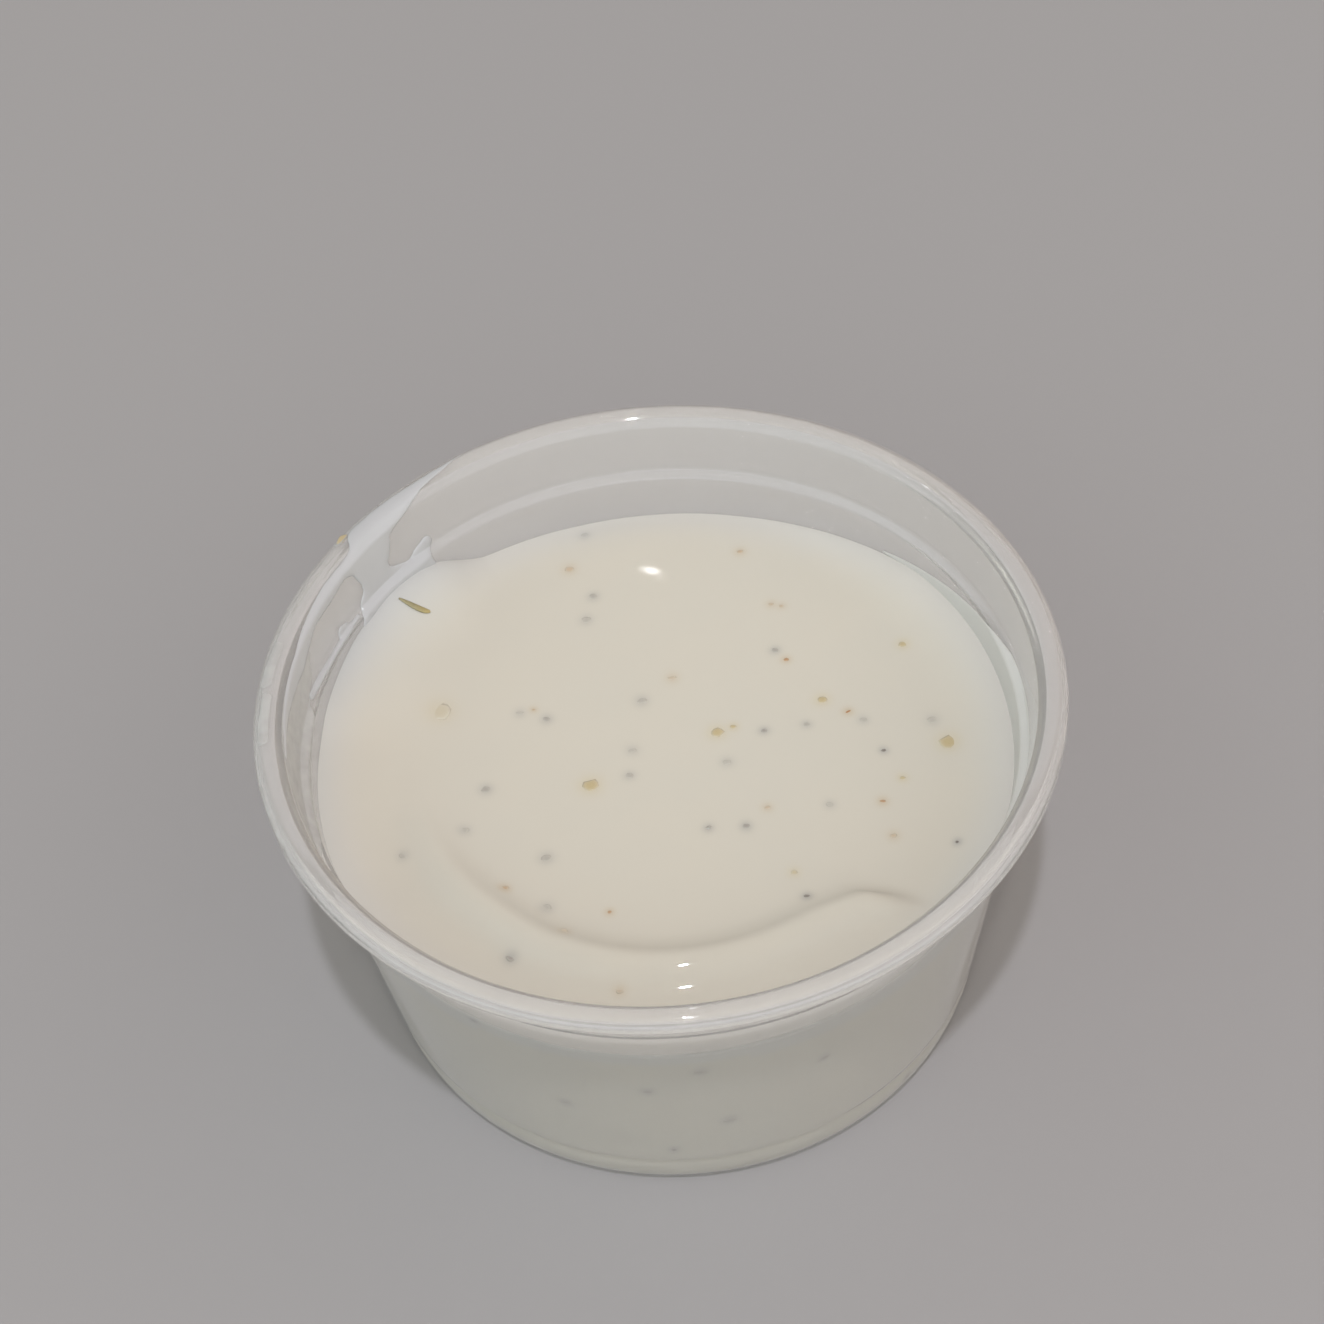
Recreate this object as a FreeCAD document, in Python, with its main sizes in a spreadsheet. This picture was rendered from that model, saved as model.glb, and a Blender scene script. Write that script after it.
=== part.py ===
import FreeCAD, Part
import math
import os
import re

import Sketcher

# A two-ounce portion cup of clear thermoformed plastic, filled with creamy dressing.
# Millimetres. The origin is at the middle of the base, +Z is up and -Y faces the
# side where the dressing's poured ridge lies.

ROUND_OFF = 0.001

# Spacing of the places that the dressing's smooth surface is drawn through.
SURFACE_PITCH = 1.25

SIZES = (
    # The cup, from the rim down. Radii are measured from the middle axis.
    ("cup_height", 31.7, "table to the top of the rim"),
    ("rim_radius", 31.05, "outside of the rim's skirt"),
    ("rim_width", 2.25, "skirt's outside to the collar's inside"),
    ("rim_slope_width", 0.65, "sloped lip between the flat rim and the collar"),
    ("lip_drop", 1.0, "flat rim down to the top of the collar"),
    ("skirt_depth", 1.35, "flat rim down to the skirt's lower edge"),
    ("wall_thickness", 0.45, "plastic, the same all over"),
    ("collar_depth", 4.2, "collar that a lid's plug fits, along its height"),
    ("collar_taper", 0.6, "how much narrower the collar is at its foot"),
    ("ledge_width", 0.65, "stacking ledge below the collar"),
    ("ledge_drop", 0.75, "height of the stacking ledge"),
    ("wall_draft", 8.1, "degrees that the wall leans out"),
    ("foot_height", 3.85, "table to the crease above the foot band"),
    ("foot_step", 0.28, "how far the crease steps in"),
    ("foot_step_drop", 0.25, "height of that step"),
    ("foot_taper", 0.49, "how much narrower the foot band is at the table"),
    ("foot_bow", 6.5, "radius of the foot band's bulge"),
    ("contact_width", 2.4, "flat ring that rests on the table"),
    ("push_up_height", 0.6, "raised middle of the floor"),
    ("push_up_slope", 1.6, "width of the slope up to it"),
    ("base_round", 0.8, "outer edge of the base"),
    ("base_inner_round", 0.45, "inner corner of the base"),
    ("rim_round", 0.5, "outer edge of the flat rim"),
    ("rim_inner_round", 0.6, "inner edge of the flat rim"),
    ("ledge_round", 0.3, "both corners of the stacking ledge, inside"),
    # The dressing.
    ("fill_gap", 0.05, "between the dressing and the plastic"),
    ("fill_drop", 3.35, "ledge's foot down to the dressing's quiet middle"),
    ("groove_inset", 9.05, "poured groove, in from the top of the wall"),
    ("groove_depth", 0.45, "below the quiet middle"),
    ("groove_width", 1.7, "half width"),
    ("ridge_inset", 5.65, "poured ridge outside the groove, in from the top of the wall"),
    ("ridge_height", 1.35, "above the quiet middle"),
    ("ridge_inner_width", 1.8, "half width towards the groove"),
    ("ridge_outer_width", 4.0, "half width towards the wall"),
    ("swell_inset", 3.95, "soft swell at the left, in from the top of the wall"),
    ("swell_height", 0.75, "above the quiet middle"),
    ("swell_width", 3.4, "half width"),
    ("cling_height", 1.05, "rise where the dressing clings to the wall"),
    ("cling_width", 3.2, "how far in that rise reaches"),
)

# Where the features of the dressing's surface lie around the cup, in degrees from +X
# counter-clockwise: start, end, softness at the start and softness at the end.
GROOVE_SPAN = (-178, -42, 26, 8)
RIDGE_SPAN = (-176, -46, 30, 7)
SWELL_SPAN = (136, 206, 24, 30)
CLING_SPANS = ((-44, 52, 14, 26), (100, 172, 22, 20))

doc = FreeCAD.newDocument("portion_cup")

sheet = doc.addObject("Spreadsheet::Sheet", "sizes")
for row, (alias, amount, meaning) in enumerate(SIZES, start=1):
    sheet.set(f"A{row}", alias)
    sheet.set(f"B{row}", str(amount))
    sheet.set(f"C{row}", meaning)
    sheet.setAlias(f"B{row}", alias)
doc.recompute()


def value(expression):
    """The number that an expression in the sheet's aliases gives now."""
    return float(sheet.evalExpression(expression))


def sized(name):
    """The number in the sheet's cell of that name."""
    return float(getattr(sheet, name))


# Places on the half section, as expressions in the sheet's aliases. Inner places are
# on the side that the dressing touches.
LIP_R = "(rim_radius - rim_width)"
LIP_Z = "(cup_height - lip_drop)"
COLLAR_R = f"({LIP_R} - collar_taper)"
COLLAR_Z = f"({LIP_Z} - collar_depth)"
LEDGE_R = f"({COLLAR_R} - ledge_width)"
LEDGE_Z = f"({COLLAR_Z} - ledge_drop)"
SLANT_DROP = "(wall_thickness / 3)"
CREASE_R = (f"({LEDGE_R} + wall_thickness"
            f" - ({LEDGE_Z} - {SLANT_DROP} - foot_height) * tan(wall_draft * 1 deg))")
BAND_R = f"({CREASE_R} - foot_step)"
BAND_Z = "(foot_height - foot_step_drop)"
BASE_R = f"({BAND_R} - foot_taper)"
SLOPE_R = f"({BASE_R} - contact_width)"
MIDDLE_R = f"({SLOPE_R} - push_up_slope)"

OUTER_PLACES = (
    ("0", "push_up_height"),
    (MIDDLE_R, "push_up_height"),
    (SLOPE_R, "0"),
    (BASE_R, "0"),
    (BAND_R, BAND_Z),
    (CREASE_R, "foot_height"),
    (f"{LEDGE_R} + wall_thickness", f"{LEDGE_Z} - {SLANT_DROP}"),
    (f"{COLLAR_R} + wall_thickness", f"{COLLAR_Z} - {SLANT_DROP}"),
    (f"{LIP_R} + wall_thickness", f"{LIP_Z} - {SLANT_DROP}"),
    (f"{LIP_R} + rim_slope_width", "cup_height - wall_thickness"),
    ("rim_radius - wall_thickness", "cup_height - wall_thickness"),
    ("rim_radius - wall_thickness", "cup_height - skirt_depth"),
    ("rim_radius", "cup_height - skirt_depth"),
    ("rim_radius", "cup_height"),
)
RIM_INNER_PLACE = (f"{LIP_R} + rim_slope_width", "cup_height")

# Which of the lining's places are corners with a feature of their own.
LINING_COLLAR_FOOT = 1
LINING_LEDGE_FOOT = 2
LINING_BAND_TOP = 4
LINING_BASE_CORNER = 5


def lining_places(gap):
    """The inside of the cup from the lip down to the axis, moved in by a gap."""
    return (
        (f"{LIP_R} - {gap}", LIP_Z),
        (f"{COLLAR_R} - {gap}", COLLAR_Z),
        (f"{LEDGE_R} - {gap}", LEDGE_Z),
        (f"{CREASE_R} - wall_thickness - {gap}", "foot_height"),
        (f"{BAND_R} - wall_thickness - {gap}", BAND_Z),
        (f"{BASE_R} - wall_thickness - {gap}", f"wall_thickness + {gap}"),
        (SLOPE_R, f"wall_thickness + {gap}"),
        (MIDDLE_R, f"push_up_height + wall_thickness + {gap}"),
        ("0", f"push_up_height + wall_thickness + {gap}"),
    )


def origin_plane(body, role):
    """The body's own origin plane with that role."""
    return next(item for item in body.Origin.OriginFeatures if item.Role == role)


def bowed_edge(low, high, radius):
    """An arc from a low place up to a high one that bulges away from the axis."""
    chord = high - low
    middle = (low + high) / 2
    inward = FreeCAD.Vector(-chord.y, chord.x, 0).normalize()
    reach = math.sqrt(radius ** 2 - (chord.Length / 2) ** 2)
    centre = middle + inward * reach
    start = math.atan2(low.y - centre.y, low.x - centre.x)
    end = math.atan2(high.y - centre.y, high.x - centre.x)
    return Part.ArcOfCircle(Part.Circle(centre, FreeCAD.Vector(0, 0, 1), radius), start, end)


def draw_section(body, name, places, bows):
    """Draw a closed half section on the body's XZ plane and tie it to the sheet.

    places are pairs of expressions, for the radius and the height. bows gives the
    radius expression of each edge that is an arc, by the number of its first place.
    """
    sketch = body.newObject("Sketcher::SketchObject", name)
    sketch.AttachmentSupport = [(origin_plane(body, "XZ_Plane"), "")]
    sketch.MapMode = "FlatFace"
    spots = [FreeCAD.Vector(value(across), value(up), 0) for across, up in places]
    ends = []
    for number, spot in enumerate(spots):
        following = spots[(number + 1) % len(spots)]
        if number not in bows:
            sketch.addGeometry(Part.LineSegment(spot, following))
            ends.append((1, 2))
        elif following.y > spot.y:
            sketch.addGeometry(bowed_edge(spot, following, value(bows[number])))
            ends.append((1, 2))
        else:
            sketch.addGeometry(bowed_edge(following, spot, value(bows[number])))
            ends.append((2, 1))
    for number, (first, last) in enumerate(ends):
        after = (number + 1) % len(ends)
        sketch.addConstraint(
            Sketcher.Constraint("Coincident", number, last, after, ends[after][0]))
    for number, (across, up) in enumerate(places):
        first = ends[number][0]
        if across == "0":
            sketch.addConstraint(Sketcher.Constraint("PointOnObject", number, first, -2))
        else:
            tie(sketch, Sketcher.Constraint(
                "DistanceX", -1, 1, number, first, spots[number].x), across)
        if up == "0":
            sketch.addConstraint(Sketcher.Constraint("PointOnObject", number, first, -1))
        else:
            tie(sketch, Sketcher.Constraint(
                "DistanceY", -1, 1, number, first, spots[number].y), up)
    for number, radius in bows.items():
        tie(sketch, Sketcher.Constraint("Radius", number, value(radius)), radius)
    return sketch


def tie(sketch, constraint, expression):
    """Add a constraint whose size follows an expression in the sheet's aliases."""
    number = sketch.addConstraint(constraint)
    sketch.setExpression(f"Constraints[{number}]", with_sheet(expression))


def with_sheet(expression):
    """The same expression, as an object outside the sheet writes it.

    Every alias has an underscore in it, and no function or unit does.
    """
    return re.sub(r"\b[a-z]+(_[a-z]+)+\b", r"sizes.\g<0>", expression)


def revolved(body, sketch, name):
    """Turn a half section once around the upright axis."""
    turn = body.newObject("PartDesign::Revolution", name)
    turn.Profile = sketch
    turn.ReferenceAxis = (sketch, ["V_Axis"])
    turn.Angle = 360
    sketch.Visibility = False
    doc.recompute()
    return turn


def rounded(body, base, name, places, radius):
    """Round the ring-shaped edges that pass through the places given."""
    names = []
    for across, up in places:
        ring_radius, ring_height = value(across), value(up)
        for number, edge in enumerate(base.Shape.Edges, start=1):
            if not isinstance(edge.Curve, Part.Circle):
                continue
            if (abs(edge.Curve.Radius - ring_radius) < ROUND_OFF
                    and abs(edge.Curve.Center.z - ring_height) < ROUND_OFF):
                names.append(f"Edge{number}")
    fillet = body.newObject("PartDesign::Fillet", name)
    fillet.Base = (base, names)
    fillet.setExpression("Radius", f"sizes.{radius}")
    doc.recompute()
    return fillet


def make_cup():
    """The clear cup: rim with a turned-down skirt, collar, ledge, wall, foot and floor."""
    body = doc.addObject("PartDesign::Body", "cup")
    body.Label = "cup"
    lining = lining_places("0")
    places = OUTER_PLACES + (RIM_INNER_PLACE,) + lining
    outer_bow = OUTER_PLACES.index((BASE_R, "0"))
    inner_bow = places.index(lining[LINING_BAND_TOP])
    bows = {outer_bow: "foot_bow", inner_bow: "foot_bow - wall_thickness"}
    shell = revolved(body, draw_section(body, "cup_section", places, bows), "cup_shell")
    step = rounded(body, shell, "base_edge", [OUTER_PLACES[outer_bow]], "base_round")
    step = rounded(body, step, "base_inner_corner", [lining[LINING_BASE_CORNER]],
                   "base_inner_round")
    step = rounded(body, step, "rim_edge", [OUTER_PLACES[-1]], "rim_round")
    step = rounded(body, step, "rim_inner_edge", [RIM_INNER_PLACE], "rim_inner_round")
    ledge_corners = [lining[LINING_COLLAR_FOOT], lining[LINING_LEDGE_FOOT]]
    rounded(body, step, "ledge_corners", ledge_corners, "ledge_round")
    return body


def span_weight(angle, span):
    """One inside a span of angles, fading smoothly to nothing at its two ends."""
    start, end, soft_start, soft_end = span
    along = (angle - start) % 360
    length = end - start
    if along > length:
        return 0.0
    rise = min(along / soft_start, 1.0)
    fall = min((length - along) / soft_end, 1.0)
    return (rise * rise * (3 - 2 * rise)) * (fall * fall * (3 - 2 * fall))


def bell(distance, half_width):
    """A smooth hump, one at distance nought."""
    return math.exp(-(distance / half_width) ** 2)


def dressing_height(across, along):
    """Height of the dressing's surface over a place on the table."""
    inset = value(LEDGE_R) - math.hypot(across, along)
    angle = math.degrees(math.atan2(along, across))
    past_ridge = sized("ridge_inset") - inset
    side = "ridge_inner_width" if past_ridge < 0 else "ridge_outer_width"
    ridge = sized("ridge_height") * bell(past_ridge, sized(side))
    groove = sized("groove_depth") * bell(
        sized("groove_inset") - inset, sized("groove_width"))
    swell = sized("swell_height") * bell(
        sized("swell_inset") - inset, sized("swell_width"))
    cling = sized("cling_height") * bell(max(inset, 0.0), sized("cling_width"))
    return (value(LEDGE_Z) - sized("fill_drop")
            + ridge * span_weight(angle, RIDGE_SPAN)
            - groove * span_weight(angle, GROOVE_SPAN)
            + swell * span_weight(angle, SWELL_SPAN)
            + cling * max(span_weight(angle, span) for span in CLING_SPANS))


def make_dressing():
    """The dressing: the inside of the cup up to its uneven poured surface."""
    blank = doc.addObject("PartDesign::Body", "dressing_blank")
    blank.Label = "dressing_blank"
    lining = lining_places("fill_gap")
    places = (("0", LIP_Z),) + lining
    inner_bow = places.index(lining[LINING_BAND_TOP])
    bows = {inner_bow: "foot_bow - wall_thickness - fill_gap"}
    fill = revolved(blank, draw_section(blank, "fill_section", places, bows), "fill")
    rounded(blank, fill, "fill_corner", [lining[LINING_BASE_CORNER]], "base_inner_round")

    half_count = math.ceil(value(LIP_R) / SURFACE_PITCH) + 1
    steps = [SURFACE_PITCH * count for count in range(-half_count, half_count + 1)]
    grid = [[FreeCAD.Vector(across, along, dressing_height(across, along))
             for along in steps] for across in steps]
    surface = Part.BSplineSurface()
    surface.interpolate(grid)
    relief = doc.addObject("Part::Feature", "dressing_relief")
    relief.Label = "dressing_relief"
    relief.Shape = surface.toShape().extrude(FreeCAD.Vector(0, 0, -sized("cup_height")))
    relief.Placement = FreeCAD.Placement()

    dressing = doc.addObject("Part::Common", "dressing")
    dressing.Label = "dressing"
    dressing.Base = blank
    dressing.Tool = relief
    doc.recompute()
    return dressing


pieces = [make_cup(), make_dressing()]
doc.recompute()

for item in doc.Objects:
    if "Invalid" in item.State or "Error" in item.State:
        raise RuntimeError(f"{item.Label} did not recompute: {item.State}")
for piece in pieces:
    if piece.Shape.isNull() or not piece.Shape.isValid():
        raise RuntimeError(f"{piece.Label} has no valid shape")

os.makedirs("parts", exist_ok=True)
for piece in pieces:
    piece.Shape.exportStep(f"parts/{piece.Label}.step")
    box = piece.Shape.BoundBox
    print(piece.Label, "solids", len(piece.Shape.Solids),
          "volume", round(piece.Shape.Volume, 1),
          "box", round(box.XLength, 2), round(box.YLength, 2),
          round(box.ZMin, 2), round(box.ZMax, 2))
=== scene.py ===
import bpy
import numpy as np
from mathutils import Matrix, Vector


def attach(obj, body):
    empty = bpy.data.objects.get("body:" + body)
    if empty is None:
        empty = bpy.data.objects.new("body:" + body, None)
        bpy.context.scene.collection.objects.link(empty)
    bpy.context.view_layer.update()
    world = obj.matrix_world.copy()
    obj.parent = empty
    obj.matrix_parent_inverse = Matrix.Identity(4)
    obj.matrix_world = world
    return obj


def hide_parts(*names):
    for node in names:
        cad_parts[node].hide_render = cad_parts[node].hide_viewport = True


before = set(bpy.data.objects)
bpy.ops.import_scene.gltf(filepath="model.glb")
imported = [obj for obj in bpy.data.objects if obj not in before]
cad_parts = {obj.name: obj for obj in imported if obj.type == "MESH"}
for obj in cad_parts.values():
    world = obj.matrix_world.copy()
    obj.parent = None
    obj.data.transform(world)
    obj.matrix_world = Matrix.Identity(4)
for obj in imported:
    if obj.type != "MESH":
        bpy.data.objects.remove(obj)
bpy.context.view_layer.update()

# --- Table, camera and lamps -------------------------------------------------
# The cup stands on a plain pale table top under one ceiling lamp, which throws
# its soft shadow backwards, and in the even light of a pale room.

MM = 0.001
scene = bpy.context.scene
scene.view_settings.view_transform = "Standard"


def linear(hex_colour):
    """sRGB hex to linear light: c / 12.92 up to 0.04045, above it ((c + 0.055) / 1.055) ** 2.4."""
    c = np.array([int(hex_colour[i:i + 2], 16) for i in (1, 3, 5)]) / 255
    return (*np.where(c <= 0.04045, c / 12.92, ((c + 0.055) / 1.055) ** 2.4), 1.0)


def node(tree, kind, links=(), **settings):
    """Adds a node. Settings name its properties, or its input sockets with _ for a space;
    links are (input socket, output socket) pairs."""
    made = tree.nodes.new(kind)
    for name, value in settings.items():
        if hasattr(made, name):
            setattr(made, name, value)
        else:
            made.inputs[name.replace("_", " ")].default_value = value
    for socket, source in links:
        tree.links.new(made.inputs[socket], source)
    return made


def material(name):
    """An empty material: returns it, its node tree and its output node."""
    made = bpy.data.materials.new(name)
    made.use_nodes = True
    made.node_tree.nodes.clear()
    return made, made.node_tree, made.node_tree.nodes.new("ShaderNodeOutputMaterial")


def mesh_piece(name, points, faces, finish):
    """A smooth mesh object at the origin: points in mm, faces as lists of point numbers."""
    mesh = bpy.data.meshes.new(name)
    mesh.from_pydata((np.asarray(points) * MM).tolist(), [], faces)
    mesh.polygons.foreach_set("use_smooth", np.ones(len(mesh.polygons), bool))
    mesh.materials.append(finish)
    mesh.update()
    made = bpy.data.objects.new(name, mesh)
    scene.collection.objects.link(made)
    return made


# Honed stone top: an even pale grey, hardly any gloss.
TABLE_GREY = "#9d9998"
TABLE_HALF = 900.0
table_finish, tree, out = material("honed_stone_top")
shade = node(tree, "ShaderNodeBsdfPrincipled", Roughness=0.6, Base_Color=linear(TABLE_GREY))
tree.links.new(out.inputs["Surface"], shade.outputs["BSDF"])
corners = np.array([[-1, -1, 0], [1, -1, 0], [1, 1, 0], [-1, 1, 0]]) * TABLE_HALF
table = mesh_piece("table_top", corners, [[0, 1, 2, 3]], table_finish)

# The camera looks down at 49 degrees from in front, tipped a little to its right.
CAMERA_AT = (0.0, -144.0, 199.1)
CAMERA_HEADING = -0.19
CAMERA_DIP = 48.87
CAMERA_ROLL = -5.474
camera_data = bpy.data.cameras.new("camera")
camera_data.lens = 78.85
camera_data.sensor_width = 36.0
camera_data.clip_start = 0.01
camera = bpy.data.objects.new("camera", camera_data)
scene.collection.objects.link(camera)
camera.matrix_world = (
    Matrix.Translation(Vector(CAMERA_AT) * MM)
    @ Matrix.Rotation(np.radians(CAMERA_HEADING), 4, "Z")
    @ Matrix.Rotation(np.radians(90 - CAMERA_DIP), 4, "X")
    @ Matrix.Rotation(np.radians(CAMERA_ROLL), 4, "Z")
)
scene.camera = camera


def disc_lamp(name, towards, distance, radius, watts, tint, aim=(0, 0, 20)):
    """A round lamp at a distance in mm along a direction from the point it faces."""
    lamp_data = bpy.data.lights.new(name, "AREA")
    lamp_data.shape = "DISK"
    lamp_data.size = 2 * radius * MM
    lamp_data.energy = watts
    lamp_data.color = linear(tint)[:3]
    lamp = bpy.data.objects.new(name, lamp_data)
    scene.collection.objects.link(lamp)
    away = Vector(towards).normalized()
    lamp.matrix_world = (
        Matrix.Translation((Vector(aim) + away * distance) * MM)
        @ away.to_track_quat("Z", "Y").to_matrix().to_4x4()
    )
    return lamp


disc_lamp("ceiling_lamp", (0.0, -0.34, 0.94), 1000, 18, 4.3, "#f4f7ff")
# Small lamps with narrow beams: two for the glints on the rim at the right, and one for the
# glint on the dressing at the back.
BEAM_DEGREES = 2.4
RIM_AT_RIGHT = (20.0, 21.0, 28.5)
POOL_AT_BACK = (0.4, 20.4, 22.46)
for name, towards, distance, radius, watts, aim in (
    ("side_lamp_near", (-0.62, 0.0, 0.78), 1000, 20, 0.000022, RIM_AT_RIGHT),
    ("side_lamp_far", (-0.67, 0.08, 0.74), 1000, 16, 0.000014, RIM_AT_RIGHT),
    ("back_lamp", (-0.0080, 0.6766, 0.7363), 983, 2.2, 0.00000042, POOL_AT_BACK),
):
    lamp = disc_lamp(name, towards, distance, radius, watts, "#ffffff", aim)
    lamp.data.spread = np.radians(BEAM_DEGREES)

# The room's even light, mixed by direction: cool in front, dim behind, warm from the right,
# and dim and warm overhead.
ROOM_FRONT = (1.82, 2.06, 2.14, 1.0)
ROOM_BACK = (0.20, 0.19, 0.18, 1.0)
ROOM_LEFT = (0.82, 0.93, 0.92, 1.0)
ROOM_RIGHT = (1.10, 0.91, 0.80, 1.0)
ROOM_CEILING = (0.26, 0.18, 0.14, 1.0)
world = bpy.data.worlds.new("pale_room")
world.use_nodes = True
tree = world.node_tree
place = node(tree, "ShaderNodeTexCoord")
axes = node(tree, "ShaderNodeSeparateXYZ", [("Vector", place.outputs["Generated"])])
blends = []
for axis, low, high in (("Y", -0.9, 0.9), ("X", -0.9, 0.9), ("Z", 0.6, 1.0)):
    blends.append(node(
        tree, "ShaderNodeMapRange", [("Value", axes.outputs[axis])],
        From_Min=low, From_Max=high, interpolation_type="SMOOTHSTEP",
    ))
depth = node(tree, "ShaderNodeMix", [("Factor", blends[0].outputs["Result"])], data_type="RGBA")
depth.inputs["A"].default_value = ROOM_FRONT
depth.inputs["B"].default_value = ROOM_BACK
breadth = node(tree, "ShaderNodeMix", [("Factor", blends[1].outputs["Result"])], data_type="RGBA")
breadth.inputs["A"].default_value = ROOM_LEFT
breadth.inputs["B"].default_value = ROOM_RIGHT
walls = node(
    tree, "ShaderNodeMix", [("A", depth.outputs["Result"]), ("B", breadth.outputs["Result"])],
    data_type="RGBA",
)
walls.inputs["Factor"].default_value = 0.5
room = node(
    tree, "ShaderNodeMix", [("Factor", blends[2].outputs["Result"]), ("A", walls.outputs["Result"])],
    data_type="RGBA",
)
room.inputs["B"].default_value = ROOM_CEILING
tree.links.new(tree.nodes["Background"].inputs["Color"], room.outputs["Result"])
scene.world = world

# --- Clear plastic cup -------------------------------------------------------
# Thermoformed polypropylene portion cup: one 0.45 mm skin with a turned-down
# rim, a collar over a small ledge for stacking, a drafted wall and a stepped foot.

WALL = 0.45
FLOOR_TOP = 1.05
FOOT_TOP = 4.0
RIM_TOP = 31.6
CUP_TURNS = 320
CUP_STEP = 1.5


def rounded(corners, radii, steps=7):
    """A path in (radius, height) whose inner corners become circular arcs: each arc is the
    rational quadratic from one tangent point to the other with the corner as its middle
    point, weighted by the sine of half the corner's angle."""
    p = np.asarray(corners, float)
    back = p[:-2] - p[1:-1]
    ahead = p[2:] - p[1:-1]
    long_back = np.linalg.norm(back, axis=1)
    long_ahead = np.linalg.norm(ahead, axis=1)
    back /= long_back[:, None]
    ahead /= long_ahead[:, None]
    half = np.arccos(np.clip((back * ahead).sum(1), -1, 1)) / 2
    reach = np.asarray(radii, float) / np.tan(half)
    reach = np.minimum(reach, 0.49 * np.minimum(long_back, long_ahead))
    start = p[1:-1] + back * reach[:, None]
    end = p[1:-1] + ahead * reach[:, None]
    u = np.linspace(0, 1, steps)[None, :, None]
    weight = 2 * u * (1 - u) * np.sin(half)[:, None, None]
    top = (1 - u) ** 2 * start[:, None] + weight * p[1:-1][:, None] + u ** 2 * end[:, None]
    arcs = (top / ((1 - u) ** 2 + weight + u ** 2)).reshape(-1, 2)
    return np.vstack([p[:1], arcs, p[-1:]])


def run_length(path):
    """Distance along a path from its first point to each of its points."""
    return np.r_[0, np.cumsum(np.hypot(*np.diff(path, axis=0).T))]


def divided(path, step):
    """The path with extra points, so that none are more than a step apart."""
    along = run_length(path)
    pieces = np.maximum(np.ceil(np.diff(along) / step), 1).astype(int)
    first = np.repeat(np.arange(len(pieces)), pieces)
    inside = np.arange(pieces.sum()) - np.repeat(np.cumsum(pieces) - pieces, pieces)
    at = np.r_[along[first] + np.diff(along)[first] * inside / pieces[first], along[-1]]
    return np.stack([np.interp(at, along, path[:, k]) for k in (0, 1)], 1)


def placed(radius, angle, height):
    """Points as x = radius * cos(angle), y = radius * sin(angle) and z = height."""
    xyz = radius * np.cos(angle), radius * np.sin(angle), height
    return np.stack(np.broadcast_arrays(*xyz), -1)


def turned(path, turns):
    """A (radius, height) path from axis to axis turned about +Z: the two end points are poles,
    and every other point is a ring, so the shape is closed with its faces outwards."""
    sweep = np.linspace(0, 2 * np.pi, turns, endpoint=False)
    radius, height = path[1:-1].T
    rings = placed(radius[:, None], sweep, height[:, None])
    return rings, (0.0, 0.0, path[0, 1]), (0.0, 0.0, path[-1, 1])


def closed_rings(rings, first_pole, last_pole):
    """Points and faces of rings (ring, turn, xyz) joined into quads and fanned onto both poles."""
    count, turns = rings.shape[:2]
    i = np.arange(count - 1)[:, None] * turns
    j = np.arange(turns)[None, :]
    k = (j + 1) % turns
    quads = np.stack([i + j, i + k, i + turns + k, i + turns + j], -1).reshape(-1, 4)
    low, high = count * turns, count * turns + 1
    last = (count - 1) * turns
    fans = [[low, b, a] for a, b in zip(j[0].tolist(), k[0].tolist())]
    fans += [[high, last + a, last + b] for a, b in zip(j[0].tolist(), k[0].tolist())]
    points = np.vstack([rings.reshape(-1, 3), [first_pole], [last_pole]])
    return points, quads.tolist() + fans


# Corners of the skin's section as (radius, height), each with the radius that rounds it.
FOOT_OUTSIDE = [
    (20.135, 0.6, 0.5), (21.735, 0.0, 0.4), (24.135, 0.0, 0.8), (24.7, 1.77, 6.5),
    (24.625, 3.6, 0.15),
]
WALL_OUTSIDE = [(24.905, 3.85, 0.2), (28.0, 25.6, 0.3), (28.65, 26.35, 0.3), (29.25, 30.55, 0.3)]
RIM_BAND = [
    (29.45, 31.25, 0.2), (30.6, 31.25, 0.2), (30.6, 30.35, 0.1),
    (31.05, 30.35, 0.15), (31.05, 31.2, 0.4), (30.3, RIM_TOP, 0.7), (29.4, RIM_TOP, 1.2),
]
WALL_INSIDE = [(28.8, 30.75, 0.3), (28.2, 26.42, 0.2), (27.58, 25.95, 0.25), (24.455, 3.85, 0.15)]
FOOT_INSIDE = [
    (24.175, 3.6, 0.2), (24.2, 2.0, 6.0), (23.685, WALL, 0.45), (21.735, WALL, 0.4),
    (20.135, FLOOR_TOP, 0.5),
]
bends = np.array(FOOT_OUTSIDE + WALL_OUTSIDE + RIM_BAND + WALL_INSIDE + FOOT_INSIDE)
skin = rounded([(0, 0.6), *bends[:, :2], (0, FLOOR_TOP)], bends[:, 2])
skin_rings = turned(divided(skin, CUP_STEP), CUP_TURNS)

# Polypropylene, IOR 1.49: clear, with the faint milk and the orange-peel shine of a
# formed sheet. Lamps pass it, so what it holds isn't left in the dark.
clear_polypropylene, tree, out = material("clear_polypropylene")
place = node(tree, "ShaderNodeTexCoord")
CLOUD_MM = 6.0
cloud = node(
    tree, "ShaderNodeTexNoise", [("Vector", place.outputs["Object"])],
    Scale=1 / (CLOUD_MM * MM), Detail=3.0,
)
gloss = node(
    tree, "ShaderNodeMapRange", [("Value", cloud.outputs["Fac"])],
    From_Min=0.3, From_Max=0.7, To_Min=0.01, To_Max=0.03,
)
clear = node(
    tree, "ShaderNodeBsdfPrincipled", [("Roughness", gloss.outputs["Result"])],
    Base_Color=linear("#ffffff"), IOR=1.49, Transmission_Weight=1.0,
    Coat_Weight=0.4, Coat_Roughness=0.02,
)
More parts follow.
